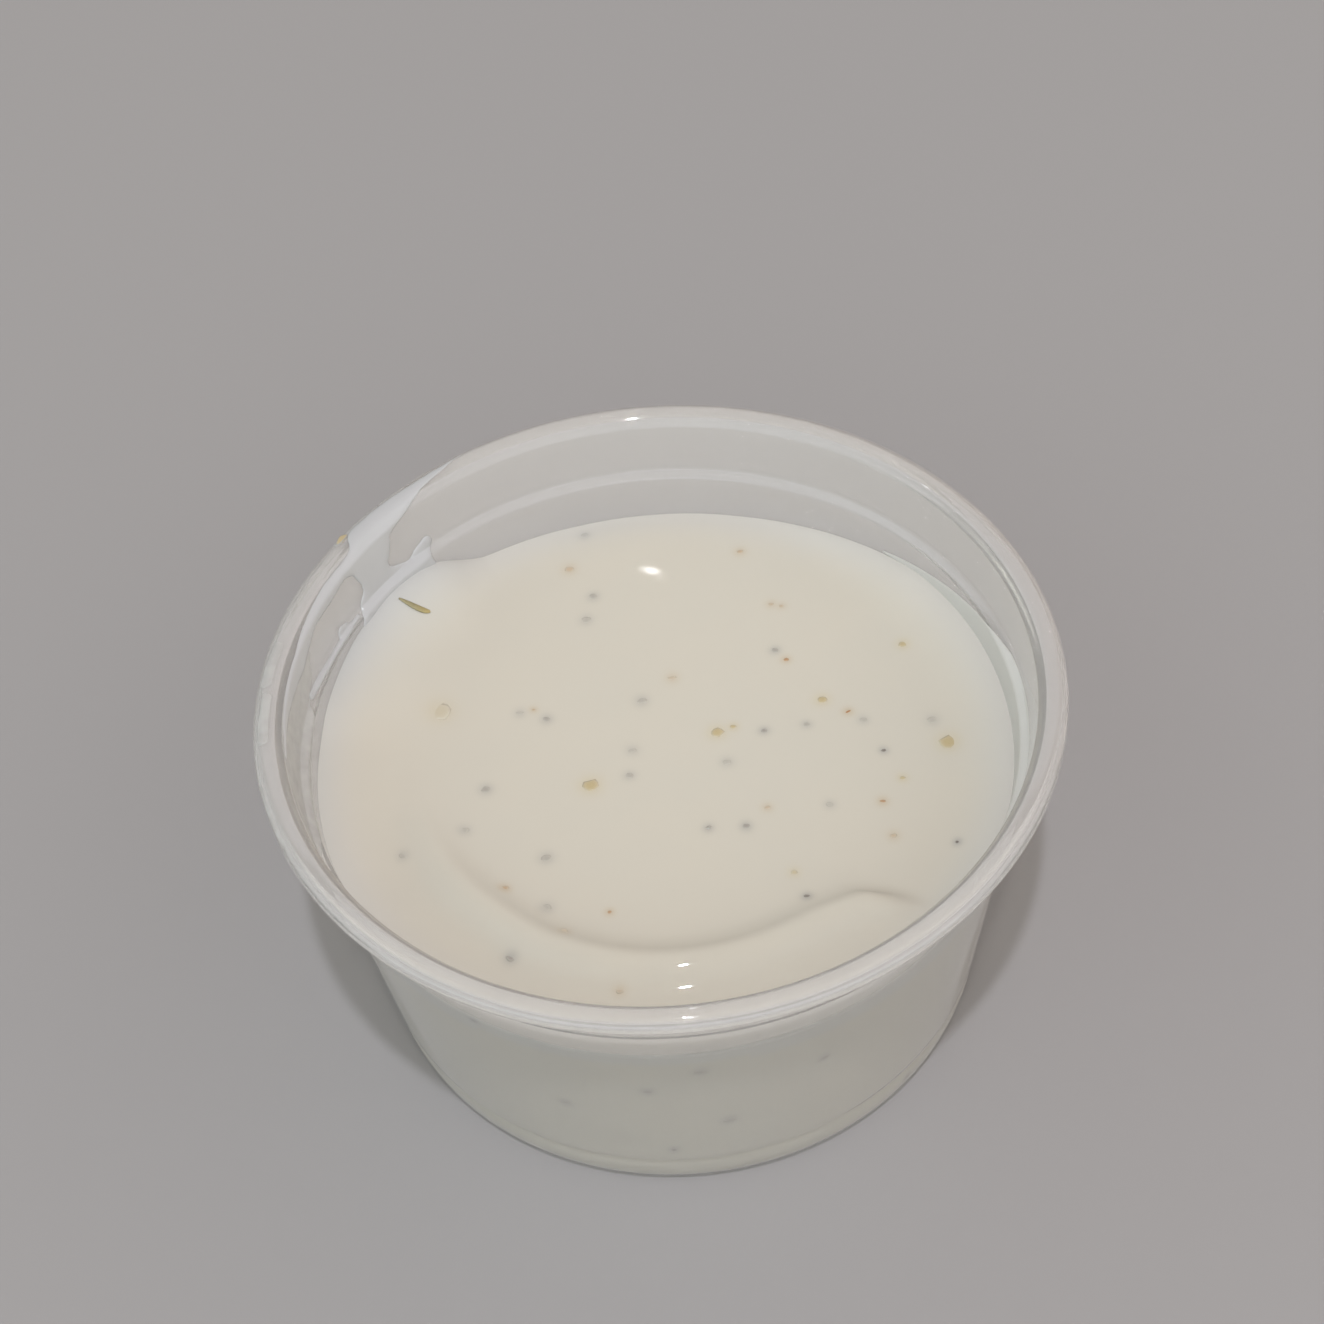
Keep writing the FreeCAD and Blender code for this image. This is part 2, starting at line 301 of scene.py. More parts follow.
# The milkiness: a share of dull pale grey, a little more in the rim, which is seen edge on.
heights = node(tree, "ShaderNodeSeparateXYZ", [("Vector", place.outputs["Object"])])
milk = node(
    tree, "ShaderNodeMapRange", [("Value", heights.outputs["Z"])],
    From_Min=29.4 * MM, From_Max=30.6 * MM, To_Min=0.21, To_Max=0.23,
)
milky = node(tree, "ShaderNodeBsdfDiffuse", Color=linear("#dcd7d2"))
cloudy = node(
    tree, "ShaderNodeMixShader",
    [(0, milk.outputs["Result"]), (1, clear.outputs["BSDF"]), (2, milky.outputs["BSDF"])],
)
lit_through = node(tree, "ShaderNodeBsdfTransparent", Color=linear("#b8b6b1"))
ray = node(tree, "ShaderNodeLightPath")
either = node(
    tree, "ShaderNodeMixShader",
    [(0, ray.outputs["Is Shadow Ray"]), (1, cloudy.outputs["Shader"]), (2, lit_through.outputs["BSDF"])],
)
tree.links.new(out.inputs["Surface"], either.outputs["Shader"])

cup_shell = mesh_piece("cup_shell", *closed_rings(*skin_rings), clear_polypropylene)
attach(cup_shell, "root")
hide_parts("cup")

# --- Dressing ----------------------------------------------------------------
# Thick mayonnaise and buttermilk dressing, spooned in: a level pool with a ridge that
# the spoon pushed up round the front and a bank clinging to the left wall.

FILL_LEVEL = 22.4
BITE = 0.06
FILL_TURNS = 480
FILL_RINGS = 118
SIDE_RINGS = 70
SEAT_STEP = 0.5

# The cup's inner face from the middle of the floor up the wall and over the rim, and the same
# face a little way into the plastic, where the dressing wets it.
inner_bends = np.array(RIM_BAND[4:] + WALL_INSIDE + FOOT_INSIDE)[::-1]
inside = rounded([(0, FLOOR_TOP), *inner_bends[:, :2], RIM_BAND[3][:2]], inner_bends[:, 2])
slope = np.gradient(inside, run_length(inside), axis=0)
seat = inside + BITE * np.stack([slope[:, 1], -slope[:, 0]], 1) / np.hypot(*slope.T)[:, None]
seat[0] = (0, FLOOR_TOP - BITE)
seat = divided(seat, SEAT_STEP)
seat_run = run_length(seat)
# The part of it between foot and rim, where each height has one radius.
on_wall = (seat[:, 1] > FOOT_TOP) & (seat[:, 1] < 30) & (seat[:, 0] < 29)


def around(azimuth, table, blur=4.0):
    """A value round the cup: straight between the table's (degrees, value) pairs, then smoothed
    with a bell blur degrees wide."""
    grid = np.arange(-180.0, 180.0)
    table = np.array(table, float)
    values = np.interp(grid, table[:, 0], table[:, 1], period=360)
    gap = (grid + 180) % 360
    bell_curve = np.exp(-(np.minimum(gap, 360 - gap) / blur) ** 2)
    smooth = np.fft.irfft(np.fft.rfft(values) * np.fft.rfft(bell_curve / bell_curve.sum()), 360)
    return np.interp(azimuth, grid, smooth, period=360)


def bell(distance, width):
    """exp(-(distance / width) squared)."""
    return np.exp(-(distance / width) ** 2)


def span(azimuth, start, end, rise, fall):
    """1 between two azimuths and 0 outside them, eased in over rise and out over fall degrees
    by 3 t squared - 2 t cubed."""
    turn = (azimuth - start) % 360
    into = np.clip(turn / rise, 0, 1)
    left = np.clip((end - start - turn) / fall, 0, 1)
    return into * into * (3 - 2 * into) * left * left * (3 - 2 * left)


# Round the cup in degrees: the radius where the ridge's inner slope is steepest, and how high
# and how far in the dressing climbs the wall.
SLOPE_RUN = [(-178, 19.0), (-166, 18.6), (-154, 18.4), (-138, 18.2), (-122, 18.5), (-106, 18.6),
             (-66, 18.7), (-58, 18.9), (-50, 19.8), (-46, 20.9), (-42, 22.5), (0, 23.0), (120, 19.2)]
WALL_LINE = [(-180, 23.6), (-165, 23.4), (-150, 22.9), (-130, 22.5), (-90, 22.4), (-60, 22.7),
             (-46, 23.0), (-35, 23.3), (-20, 23.5), (4, 23.5), (19, 23.7), (36, 23.8), (49, 23.1),
             (61, 22.6), (72, 22.3), (90, 22.2), (101, 22.25), (112, 22.5), (120, 22.7), (125, 23.9),
             (128, 24.9), (133, 25.6), (140, 25.8), (147, 25.4), (151, 25.3), (156, 24.9), (161, 24.6),
             (166, 24.3), (171, 23.8)]
CLIMB_WIDTH = [(-170, 2.6), (-130, 1.4), (-60, 1.4), (-30, 2.6), (0, 3.0), (35, 3.0), (60, 1.6),
               (100, 1.6), (120, 2.2), (132, 3.6), (155, 3.6), (170, 2.8)]
# How far the crest lies outside that slope, and heights of what the spoon left on the level
# surface, all in mm.
CREST_OFFSET = 1.05
CREST, TOE, FOLDS, BANK = 1.15, 0.30, 0.006, 0.75
WAVES, RIPPLES, SWELL = 0.03, 0.008, 0.05


def pool(azimuth, radius):
    """Height of the stirred surface: the level, plus a ridge (a bell across its crest with a long
    low toe inside it and faint sine folds outside), the bank on the left, slow sine waves and
    ripples of a few hundredths, and a low swell at the back, where the ripples fade."""
    off_crest = radius - around(azimuth, SLOPE_RUN, 2.5) - CREST_OFFSET
    there = span(azimuth, -194, -40, 66, 9)
    outer = 1.9 + 2.2 * span(azimuth, 150, -106, 30, 26)
    crest = CREST * bell(off_crest, np.where(off_crest < 0, 1.55, outer))
    toe = TOE * bell(off_crest, np.where(off_crest < 0, 3.2, outer))
    folds = FOLDS * (4.1 - outer) * np.sin(5.2 * off_crest + 0.5 * azimuth)
    folds *= bell(off_crest - 1.6, 0.9)
    bank = BANK * bell(radius - 23.6, 3.4) * span(azimuth, 136, 206, 24, 30)
    x = radius * np.cos(np.radians(azimuth))
    y = radius * np.sin(np.radians(azimuth))
    waves = WAVES * np.sin(0.31 * x + 0.12 * y + 1.0) * np.sin(0.27 * y - 0.1 * x)
    ripples = RIPPLES * np.sin(0.9 * x - 0.5 * y + 2.0) * np.sin(0.7 * y + 0.4 * x)
    ripples *= 1 - bell(x, 10.0) * bell(y - 22.0, 6.0)
    swell = SWELL * bell(x, 9.0) * bell(y - 22.0, 8.0)
    return FILL_LEVEL + (crest + toe + folds) * there + bank + waves + ripples + swell


def level(azimuth, radius):
    """Height of the dressing: the pool, lifted or drawn down towards the wall so that it meets
    the line where it wets the plastic, by a bell of the distance from the wall."""
    line = around(azimuth, WALL_LINE, 2.0)
    edge = np.interp(line, seat[on_wall, 1], seat[on_wall, 0])
    climb = (line - pool(azimuth, edge)) * bell(edge - radius, around(azimuth, CLIMB_WIDTH))
    return pool(azimuth, radius) + climb


turn = np.linspace(-180, 180, FILL_TURNS, endpoint=False)
line_run = np.interp(around(turn, WALL_LINE, 2.0), seat[on_wall, 1], seat_run[on_wall])
side_run = np.linspace(0, 1, SIDE_RINGS)[1:, None] * line_run
side_radius = np.interp(side_run, seat_run, seat[:, 0])
side_height = np.interp(side_run, seat_run, seat[:, 1])
inward = 1 - np.linspace(0, 1, FILL_RINGS)[1:-1, None] ** 1.2
top_radius = side_radius[-1] * inward
top_height = level(turn[None, :] + 0 * top_radius, top_radius)
fill_radius = np.vstack([side_radius, top_radius])
fill_height = np.vstack([side_height, top_height])
fill_rings = placed(fill_radius, np.radians(turn), fill_height)
fill_ends = (0, 0, FLOOR_TOP - BITE), (0, 0, level(0.0, 0.0))
fill_points, fill_faces = closed_rings(fill_rings, *fill_ends)

# Egg and buttermilk emulsion, IOR 1.45: an opaque warm white with a wet shine. Its colour
# drifts a little, and a veil dims it over sunk grains; the same veil paints a cool tint along
# the wall and cool shade on the bank at the left.
cream_emulsion, tree, out = material("cream_emulsion")
place = node(tree, "ShaderNodeTexCoord")
DRIFT_MM = 9.0
drift = node(
    tree, "ShaderNodeTexNoise", [("Vector", place.outputs["Object"])],
    Scale=1 / (DRIFT_MM * MM), Detail=2.0,
)
cream = node(tree, "ShaderNodeMix", [("Factor", drift.outputs["Fac"])], data_type="RGBA")
cream.inputs["A"].default_value = linear("#cec6b7")
cream.inputs["B"].default_value = linear("#cac4b7")
veil_and_painted_light = node(tree, "ShaderNodeAttribute", attribute_name="veil_and_painted_light")
veiled_and_painted = node(
    tree, "ShaderNodeMix", [("A", cream.outputs["Result"]), ("B", veil_and_painted_light.outputs["Color"])],
    data_type="RGBA", blend_type="MULTIPLY",
)
veiled_and_painted.inputs["Factor"].default_value = 1.0
wet = node(
    tree, "ShaderNodeMapRange", [("Value", drift.outputs["Fac"])],
    From_Min=0.3, From_Max=0.7, To_Min=0.02, To_Max=0.05,
)
shade = node(
    tree, "ShaderNodeBsdfPrincipled",
    [("Base Color", veiled_and_painted.outputs["Result"]), ("Roughness", wet.outputs["Result"])], IOR=1.45,
)
tree.links.new(out.inputs["Surface"], shade.outputs["BSDF"])

dressing_pool = mesh_piece("dressing_pool", fill_points, fill_faces, cream_emulsion)
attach(dressing_pool, "root")
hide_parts("dressing")

# --- Seasoning ---------------------------------------------------------------
# Cracked black pepper, paprika flakes and garlic granules stirred through the dressing.
# Few lie bare: most have a skin of dressing over them, and one garlic granule is on the rim.

# Each grain: x and y in mm, length, width, its turn in degrees, and how bare it is, 0 to 1.
PEPPER = [
    (-14.2, -1.1, 0.70, 0.55, 30, 0.22), (-12.9, -17.6, 0.70, 0.60, 0, 0.30),
    (-9.8, -8.4, 0.80, 0.60, 0, 0.17), (-10.0, -13.2, 0.80, 0.55, 15, 0.10),
    (-20.8, -7.0, 0.60, 0.50, 0, 0.11), (-16.0, -5.0, 0.70, 0.50, 0, 0.10),
    (-9.1, 5.5, 0.65, 0.45, -20, 0.22), (-11.2, 6.4, 0.60, 0.30, 0, 0.06),
    (-4.6, 18.2, 0.65, 0.55, 0, 0.18), (-5.3, 15.7, 0.75, 0.60, 0, 0.12),
    (-4.9, 25.3, 0.60, 0.50, 0, 0.10), (-1.4, 6.4, 0.80, 0.45, 0, 0.14),
    (-2.9, -1.1, 0.60, 0.50, 0, 0.15), (8.0, 2.1, 0.50, 0.40, 0, 0.32),
    (9.7, 10.4, 0.55, 0.50, 0, 0.26), (11.4, 2.3, 0.50, 0.40, 10, 0.18),
    (15.9, 2.2, 0.60, 0.40, 0, 0.10), (17.1, -1.1, 0.40, 0.28, 20, 0.75),
    (21.3, 1.5, 0.80, 0.60, 0, 0.08), (21.5, -10.9, 0.36, 0.26, -20, 0.80),
    (9.6, -14.6, 0.50, 0.34, -10, 0.65), (5.7, -7.2, 0.60, 0.40, -10, 0.30),
    (2.8, -7.0, 0.50, 0.35, 20, 0.25), (4.8, -0.7, 0.70, 0.40, 0, 0.08),
    (-2.5, 1.4, 0.70, 0.40, 0, 0.07), (12.3, -5.9, 0.60, 0.45, 0, 0.06),
]
PAPRIKA = [
    (-6.4, 21.5, 0.80, 0.55, 0, 0.25), (1.2, 8.5, 0.70, 0.35, 0, 0.15),
    (7.9, 21.6, 0.60, 0.40, 0, 0.30), (9.9, 15.4, 0.50, 0.30, 0, 0.20),
    (10.7, 15.1, 0.40, 0.30, 0, 0.20), (10.5, 9.3, 0.45, 0.35, 0, 0.75),
    (14.8, 3.2, 0.50, 0.18, 25, 0.95), (16.4, -6.1, 0.50, 0.25, -10, 0.70),
    (16.8, -9.5, 0.60, 0.40, 0, 0.20), (7.5, -5.6, 0.50, 0.35, 0, 0.20),
    (-13.1, -11.1, 0.60, 0.45, 0, 0.35), (-5.3, -14.1, 0.35, 0.28, 0, 0.60),
    (-10.1, 6.6, 0.30, 0.20, 0, 0.30), (-8.8, -16.0, 0.70, 0.45, 0, 0.12),
    (-5.0, -21.5, 0.60, 0.45, 0, 0.15),
]
GARLIC = [
    (4.3, 2.4, 1.05, 0.90, 0, 0.58), (5.6, 2.8, 0.50, 0.40, 0, 0.50),
    (-6.0, -1.7, 1.35, 1.15, 20, 0.58), (22.2, -0.9, 1.40, 1.25, 0, 0.58),
    (20.0, 9.6, 0.70, 0.55, 0, 0.50), (12.9, 4.7, 0.85, 0.65, 0, 0.58),
    (18.2, -4.0, 0.45, 0.35, 0, 0.45), (8.9, -12.1, 0.55, 0.45, 0, 0.25),
    (-17.6, 7.3, 2.00, 1.70, 10, 0.13),
]
# Pepper seen through the wall: azimuth in degrees and height, then as above. The far side
# gets as many to the area, at seeded places.
WALL_PEPPER = [
    (-125.6, 21.8, 0.55, 0.40, 0, 0.12), (-98.1, 16.2, 0.70, 0.50, 0, 0.12),
    (-89.4, 19.2, 0.80, 0.55, 0, 0.08), (-112.8, 12.3, 0.80, 0.30, 10, 0.10),
    (-85.1, 10.1, 0.90, 0.55, 0, 0.09), (-95.2, 5.6, 0.45, 0.35, 0, 0.30),
    (-68.7, 16.1, 0.70, 0.50, 0, 0.08), (-46.9, 1.6, 0.50, 0.36, 0, 0.75),
]
chance = np.random.default_rng(7)
hidden = np.stack([
    chance.uniform(-20, 210, 22), chance.uniform(3, 21, 22), chance.uniform(0.4, 0.9, 22),
    chance.uniform(0.3, 0.5, 22), chance.uniform(-40, 40, 22), chance.uniform(0.06, 0.3, 22),
], 1)

# A grain's sides, its root's depth and its dome's greatest height in mm, and how much of its
# own colour the barest one shows.
GRAIN_SIDES = 9
GRAIN_ROOT = 0.1
HIGHEST_DOME = 0.06
BAREST = 0.8


def grains(name, centres, sideways, upwards, outwards, rows, finish):
    """One piece of many small lumps. Each is a shallow dome, height * (1 - share of its radius
    squared), over a root, squeezed to its length and width, made lumpy by seeded radii, turned
    in its own plane and set on its centre along the three directions. Its bareness goes with
    it as an attribute, and falls off towards its edge. The root, which is every face on the
    first two rings, is shaded flat."""
    points, faces, bare, domed = [], [], [], []
    share = np.array([0.6, 1.0, 1.0, 0.72, 0.38])[:, None]
    sweep = np.linspace(0, 2 * np.pi, GRAIN_SIDES, endpoint=False)
    for centre, side, up, out, row in zip(centres, sideways, upwards, outwards, rows):
        lump = 1 + chance.uniform(-0.16, 0.16, GRAIN_SIDES)
        turned_by = np.radians(row[4])
        along = 0.5 * row[2] * share * np.cos(sweep) * lump
        across = 0.5 * row[3] * share * np.sin(sweep) * lump
        a = along * np.cos(turned_by) - across * np.sin(turned_by)
        b = along * np.sin(turned_by) + across * np.cos(turned_by)
        dome = min((0.01 + 0.10 * row[5]) * row[3], HIGHEST_DOME)
        lift = np.array([-GRAIN_ROOT, -GRAIN_ROOT, 0.0, 0.48 * dome, 0.86 * dome])[:, None]
        rings = centre + a[..., None] * side + b[..., None] * up + lift[..., None] * out
        some, its_faces = closed_rings(rings, centre - GRAIN_ROOT * out, centre + dome * out)
        faces += [[len(bare) + n for n in face] for face in its_faces]
        domed += [min(face) >= 2 * GRAIN_SIDES for face in its_faces]
        by_ring = [0.0, 0.0, row[5] ** 2, 0.55 + 0.45 * row[5], 1.0]
        shown = BAREST * np.repeat(by_ring, GRAIN_SIDES) * row[5]
        bare += [*shown, 0.0, BAREST * row[5]]
        points.append(some)
    piece = mesh_piece(name, np.vstack(points), faces, finish)
    piece.data.polygons.foreach_set("use_smooth", np.array(domed))
    bareness = piece.data.attributes.new("bare", "FLOAT", "POINT")
    bareness.data.foreach_set("value", np.array(bare, np.float32))
    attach(piece, "root")
    return piece


COVERING = "#ccc5b7"
MOTTLE_MM = 0.15


def seasoning_finish(name, dark, light, roughness):
    """A dry ground spice: two tones mottled every MOTTLE_MM, fading where it isn't bare into
    the covering dressing's colour and shine, dimmed by the same veil, with its painted cool
    tint and painted shade near the wall."""
    finish, tree, out = material(name)
    place = node(tree, "ShaderNodeTexCoord")
    mottle = node(
        tree, "ShaderNodeTexNoise", [("Vector", place.outputs["Object"])],
        Scale=1 / (MOTTLE_MM * MM),
    )
    spice = node(tree, "ShaderNodeMix", [("Factor", mottle.outputs["Fac"])], data_type="RGBA")
    spice.inputs["A"].default_value = linear(dark)
    spice.inputs["B"].default_value = linear(light)
    how_bare = node(tree, "ShaderNodeAttribute", attribute_name="bare")
    veil_and_painted_light = node(tree, "ShaderNodeAttribute", attribute_name="veil_and_painted_light")
    cover = node(
        tree, "ShaderNodeMix", [("B", veil_and_painted_light.outputs["Color"])], data_type="RGBA", blend_type="MULTIPLY",
    )
    cover.inputs["Factor"].default_value = 1.0
    cover.inputs["A"].default_value = linear(COVERING)
    layers = [("A", cover.outputs["Result"]), ("B", spice.outputs["Result"])]
    seen = node(
        tree, "ShaderNodeMix", [("Factor", how_bare.outputs["Fac"]), *layers], data_type="RGBA",
    )
    shine = node(
        tree, "ShaderNodeMapRange", [("Value", how_bare.outputs["Fac"])],
        From_Min=0.2, From_Max=0.8, To_Min=0.05, To_Max=roughness,
    )
    shade = node(
        tree, "ShaderNodeBsdfPrincipled",
        [("Base Color", seen.outputs["Result"]), ("Roughness", shine.outputs["Result"])], IOR=1.45,
    )
    tree.links.new(out.inputs["Surface"], shade.outputs["BSDF"])
    return finish


def on_top(rows):
    """Centres and directions for grains lying in the dressing's surface."""
    rows = np.asarray(rows, float)
    azimuth = np.degrees(np.arctan2(rows[:, 1], rows[:, 0]))
    height = level(azimuth, np.hypot(rows[:, 0], rows[:, 1]))
    still = np.ones((len(rows), 1))
    centres = np.stack([rows[:, 0], rows[:, 1], height + 0.004], 1)
    return centres, still * (1, 0, 0), still * (0, 1, 0), still * (0, 0, 1)


FOOT_INNER_RADIUS = 23.97


def at_wall(rows):
    """Centres and directions for grains pressed against the inside of the wall."""
    rows = np.asarray(rows, float)
    azimuth = np.radians(rows[:, 0])
    radius = np.interp(rows[:, 1], seat[on_wall, 1], seat[on_wall, 0])
    radius = np.where(rows[:, 1] < FOOT_TOP, FOOT_INNER_RADIUS, radius)
    outward = np.stack([np.cos(azimuth), np.sin(azimuth), 0 * azimuth], 1)
    centres = outward * radius[:, None] + rows[:, 1:2] * (0, 0, 1)
    side = np.stack([-np.sin(azimuth), np.cos(azimuth), 0 * azimuth], 1)
    return centres, side, np.ones((len(rows), 1)) * (0, 0, 1), outward


wall_rows = np.vstack([WALL_PEPPER, hidden])
pepper_finish = seasoning_finish("ground_black_pepper", "#3b302a", "#665449", 0.6)
paprika_finish = seasoning_finish("paprika_flake", "#944f1e", "#bd8238", 0.6)
garlic_finish = seasoning_finish("garlic_granule", "#a4873f", "#b39a58", 0.35)
pepper_grains = grains("pepper_grains", *on_top(PEPPER), PEPPER, pepper_finish)
pepper_by_the_wall = grains("pepper_by_the_wall", *at_wall(wall_rows), wall_rows, pepper_finish)
paprika_flakes = grains("paprika_flakes", *on_top(PAPRIKA), PAPRIKA, paprika_finish)
garlic_granules = grains("garlic_granules", *on_top(GARLIC), GARLIC, garlic_finish)
rim_speck = [(0.0, 0.0, 1.30, 0.70, 50, 0.8)]
rim_place = np.array([(-24.1, 18.8, 31.47)])
granule_on_rim = grains("granule_on_rim", rim_place, *np.eye(3)[:, None], rim_speck, garlic_finish)


# What lies above this height is surface. The painted cool tint along the wall and the painted
# cool shade on the bank: width in mm, and strength in red, green and blue.
LOWEST_SURFACE = 20.5
PAINTED_COOL_EDGE_WIDTH = 2.4
PAINTED_COOL_EDGE_STRENGTH = (0.03, 0.0, -0.08)
PAINTED_BANK_SHADE_WIDTH = 4.0
PAINTED_BANK_SHADE_STRENGTH = (0.09, 0.06, 0.01)


def veil_and_painted_light_at(points):
    """The share of red, green and blue light that the veil leaves at points in mm. Near each
    grain it is 1 - strength * bell(distance, a little more than half the grain's length), with
    less strength for the deepest. It also holds painted light: towards the wall, where the
    dressing thins over clear plastic, a painted cool tint, and on the bank at the left painted
    cool shade as well, each 1 - strength * bell(distance from the wall, a few mm)."""
    left = np.ones((len(points), 4), np.float32)
    for rows, centres, strength in (
        (PEPPER, on_top(PEPPER)[0], (0.31, 0.30, 0.26)),
        (wall_rows, at_wall(wall_rows)[0], (0.40, 0.38, 0.36)),
        (PAPRIKA, on_top(PAPRIKA)[0], (0.10, 0.19, 0.30)),
        (GARLIC, on_top(GARLIC)[0], (0.04, 0.09, 0.22)),
    ):
        rows = np.asarray(rows, float)
        away = np.linalg.norm(points[:, None, :] - centres[None], axis=2)
        depth = bell(away, 0.20 + 0.52 * rows[:, 2]) * np.minimum(0.4 + 1.5 * rows[:, 5], 1.0)
        left[:, :3] *= 1 - depth.max(1)[:, None] * np.array(strength)
    azimuth = np.degrees(np.arctan2(points[:, 1], points[:, 0]))
    edge = np.interp(around(azimuth, WALL_LINE, 2.0), seat[on_wall, 1], seat[on_wall, 0])
    from_wall = edge - np.hypot(*points[:, :2].T)
    on_surface = points[:, 2] > LOWEST_SURFACE
    # Painted light: a cool tint near the wall and cool shade on the bank.
    painted_cool_edge = on_surface * bell(from_wall, PAINTED_COOL_EDGE_WIDTH)
    painted_bank_shade = on_surface * span(azimuth, 118, 172, 16, 20) * bell(from_wall, PAINTED_BANK_SHADE_WIDTH)
    left[:, :3] *= 1 - painted_cool_edge[:, None] * PAINTED_COOL_EDGE_STRENGTH
    left[:, :3] *= 1 - painted_bank_shade[:, None] * PAINTED_BANK_SHADE_STRENGTH
    return left


# Every piece gets the veil over sunk grains together with the painted cool tint and shade.
for piece in (
    dressing_pool, pepper_grains, pepper_by_the_wall, paprika_flakes, garlic_granules, granule_on_rim,
):
    places = np.empty(3 * len(piece.data.vertices), np.float32)
    piece.data.vertices.foreach_get("co", places)
    attribute = piece.data.attributes.new("veil_and_painted_light", "FLOAT_COLOR", "POINT")
    attribute.data.foreach_set("color", veil_and_painted_light_at(places.reshape(-1, 3) / MM).ravel())

# --- Herb --------------------------------------------------------------------
# One sliver of dried dill or parsley on the bank at the left: a thin curved blade,
# olive with a paler broken end, lying flat in the dressing.

HERB_STEPS = 28
HERB_HALF_WIDTH = 0.30
HERB_FLATNESS = 0.45
HERB_LIFT = 0.06
herb_path = np.array([
    (-20.35, 17.2), (-19.6, 16.95), (-18.9, 16.75), (-18.35, 16.75), (-18.0, 16.8),
])
herb_along = np.linspace(0, 1, HERB_STEPS)
herb_xy = np.stack([
    np.polyval(np.polyfit(np.linspace(0, 1, 5), herb_path[:, k], 3), herb_along) for k in (0, 1)
], 1)
herb_height = level(np.degrees(np.arctan2(herb_xy[:, 1], herb_xy[:, 0])), np.hypot(*herb_xy.T))
herb_line = np.column_stack([herb_xy, herb_height + HERB_LIFT])
herb_ahead = np.gradient(herb_line, axis=0)
herb_ahead /= np.linalg.norm(herb_ahead, axis=1)[:, None]
herb_side = np.cross(herb_ahead, (0, 0, 1))
herb_side /= np.linalg.norm(herb_side, axis=1)[:, None]
herb_up = np.cross(herb_side, herb_ahead)
# Round the blade backwards, so that its faces point outwards.
herb_round = np.linspace(2 * np.pi, 0, 12, endpoint=False)
herb_wide = HERB_HALF_WIDTH * np.sin(np.pi * (0.06 + 0.80 * herb_along)) ** 0.8
herb_rings = (
    herb_line[:, None]
    + (herb_wide[:, None] * np.cos(herb_round))[..., None] * herb_side[:, None]
    + (HERB_FLATNESS * herb_wide[:, None] * np.sin(herb_round))[..., None] * herb_up[:, None]
)

# Dried leaf: dull olive, streaked as finely as its veins, and straw-coloured where it broke.
VEIN_MM = 0.25
dried_herb, tree, out = material("dried_herb")
place = node(tree, "ShaderNodeTexCoord")
axes = node(tree, "ShaderNodeSeparateXYZ", [("Vector", place.outputs["Object"])])
to_tip = node(
    tree, "ShaderNodeMapRange", [("Value", axes.outputs["X"])],
    From_Min=-19.2 * MM, From_Max=-18.0 * MM, To_Min=0.0, To_Max=0.8,
)
vein = node(
    tree, "ShaderNodeTexNoise", [("Vector", place.outputs["Object"])], Scale=1 / (VEIN_MM * MM),
)
olive = node(tree, "ShaderNodeMix", [("Factor", vein.outputs["Fac"])], data_type="RGBA")
olive.inputs["A"].default_value = linear("#857c58")
olive.inputs["B"].default_value = linear("#a59b78")
tipped = node(
    tree, "ShaderNodeMix", [("Factor", to_tip.outputs["Result"]), ("A", olive.outputs["Result"])],
    data_type="RGBA",
)
tipped.inputs["B"].default_value = linear("#b8a469")
shade = node(
    tree, "ShaderNodeBsdfPrincipled", [("Base Color", tipped.outputs["Result"])], Roughness=0.45,
)
tree.links.new(out.inputs["Surface"], shade.outputs["BSDF"])

herb_skin = closed_rings(herb_rings, herb_line[0], herb_line[-1])
herb_sliver = mesh_piece("herb_sliver", *herb_skin, dried_herb)
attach(herb_sliver, "root")

# --- Smears on the plastic ---------------------------------------------------
# Dressing dragged up the wall, over the collar and onto the rim as the cup was filled: wet
# streaks with bare windows between them, a thin film at the left, and a wash at the right.

SMEAR_STEP = 0.14
LEDGE_HEIGHT = 25.75
COLLAR_RADIUS = 28.5
MM_PER_DEGREE = np.radians(COLLAR_RADIUS)
# How softly streaks flow together, then where the layer starts to thin towards the rim, over
# what run, both in mm, and by what share.
MELT = 0.18
COLLAR_TOP_RUN = 5.2
RIM_BLEND = 1.2
RIM_THINNING = 0.64


def streak(points, at_azimuth, at_run):
    """How far inside a streak each place is, in mm: its half width, straight between the given
    (azimuth, run, half width) points, less the distance to its middle line."""
    points = np.array(points, float) * (MM_PER_DEGREE, 1, 1)
    here = np.stack([at_azimuth * MM_PER_DEGREE, at_run], -1)[..., None, :]
    first, last = points[:-1], points[1:]
    step = last[:, :2] - first[:, :2]
    share = np.clip(((here - first[:, :2]) * step).sum(-1) / (step ** 2).sum(-1), 0, 1)
    gap = np.linalg.norm(here - first[:, :2] - share[..., None] * step, axis=-1)
    return (first[:, 2] + share * (last[:, 2] - first[:, 2]) - gap).max(-1)


